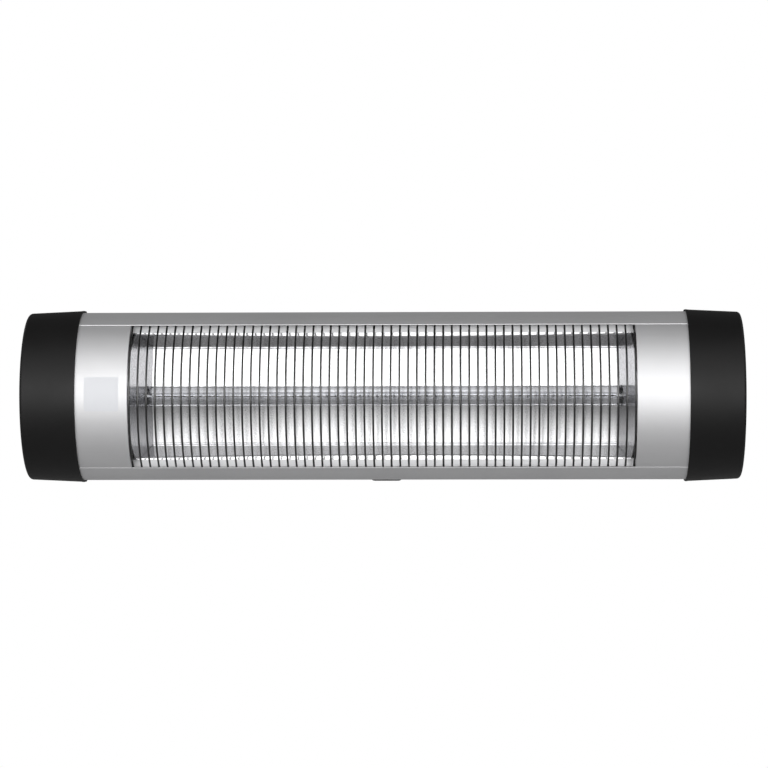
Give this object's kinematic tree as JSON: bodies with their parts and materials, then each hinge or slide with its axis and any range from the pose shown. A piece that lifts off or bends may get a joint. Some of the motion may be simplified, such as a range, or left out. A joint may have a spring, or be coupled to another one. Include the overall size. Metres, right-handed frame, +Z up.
{
  "type": "wall-mounted electric bar heater",
  "caption": "Half-round electric bar heater with a quartz lamp in a mirror trough behind a wire guard, black end caps and a wall bracket that lets it tilt down.",
  "frame": {"origin": "on the wall bracket's back face, level with the tilt pivot and midway along the heater; the wall is the plane y = 0", "axes": "+X to the viewer's right along the heater, +Y into the wall, +Z up; the heater faces -Y"},
  "size_m": [0.7068, 0.1775, 0.173],
  "materials": {
    "satin_aluminium": "satin anodised aluminium, fine grain along the length",
    "mirror_aluminium": "polished mirror aluminium sheet",
    "sheet_steel": "plain zinc-plated sheet steel",
    "black_wire": "glossy black coated wire",
    "black_plastic": "satin black moulded plastic",
    "rocker_plastic": "glossy black plastic",
    "quartz": "clear quartz tube",
    "carbon": "matt carbon fibre strand",
    "ceramic": "off-white ceramic, modelled as a hard smooth solid",
    "zinc_steel": "bright zinc-plated steel",
    "white_plastic": "off-white moulded plastic",
    "brown_lead": "silicone-covered lead",
    "earth_lead": "green and yellow covered lead",
    "bracket_steel": "dark powder-coated steel"
  },
  "bodies": {
    "wall_side": {"wall_bracket": "bracket_steel", "pivot_bolt": "zinc_steel", "pivot_nut": "zinc_steel", "pivot_washer_right": "zinc_steel", "pivot_washer_left": "zinc_steel"},
    "heater_body": {"rear_housing": "satin_aluminium", "front_cover_right": "satin_aluminium", "front_cover_left": "satin_aluminium", "reflector": "mirror_aluminium", "reflector_cheek_right": "mirror_aluminium", "reflector_cheek_left": "mirror_aluminium", "end_plate_right": "sheet_steel", "end_plate_left": "sheet_steel", "lamp_clip_right": "sheet_steel", "lamp_clip_left": "sheet_steel", "guard_grille": "black_wire", "end_cap_right": "black_plastic", "end_cap_left": "black_plastic", "switch_body": "black_plastic", "cable_gland": "black_plastic", "gland_nut": "black_plastic", "lamp_tube": "quartz", "carbon_strand": "carbon", "lamp_end_right": "ceramic", "lamp_end_left": "ceramic", "thermal_cutout": "ceramic", "strand_end_right": "zinc_steel", "strand_end_left": "zinc_steel", "cap_screw_right_upper_back": "zinc_steel", "cap_screw_right_lower_back": "zinc_steel", "cap_screw_right_upper_front": "zinc_steel", "cap_screw_right_lower_front": "zinc_steel", "cap_screw_left_upper_back": "zinc_steel", "cap_screw_left_lower_back": "zinc_steel", "cap_screw_left_upper_front": "zinc_steel", "cap_screw_left_lower_front": "zinc_steel", "earth_screw": "zinc_steel", "bracket_bolt_upper": "zinc_steel", "bracket_bolt_lower": "zinc_steel", "slot_nut_upper": "zinc_steel", "slot_nut_lower": "zinc_steel", "terminal_block": "white_plastic", "lamp_lead_right": "brown_lead", "lamp_lead_left": "brown_lead", "cutout_lead": "brown_lead", "switch_lead": "brown_lead", "earth_lead": "earth_lead", "tilt_bracket": "bracket_steel"},
    "rocker": {"switch_rocker": "rocker_plastic"}
  },
  "joints": [
    {"name": "body_tilt", "type": "hinge", "parent": "wall_side", "child": "heater_body", "pos_m": [0, -0.046, 0], "axis": [1, 0, 0], "range_deg": [0, 45]},
    {"name": "switch_rock", "type": "hinge", "parent": "heater_body", "child": "rocker", "pos_m": [0.3475, -0.096, 0], "axis": [0, 1, 0], "range_deg": [0, 14]}
  ]
}
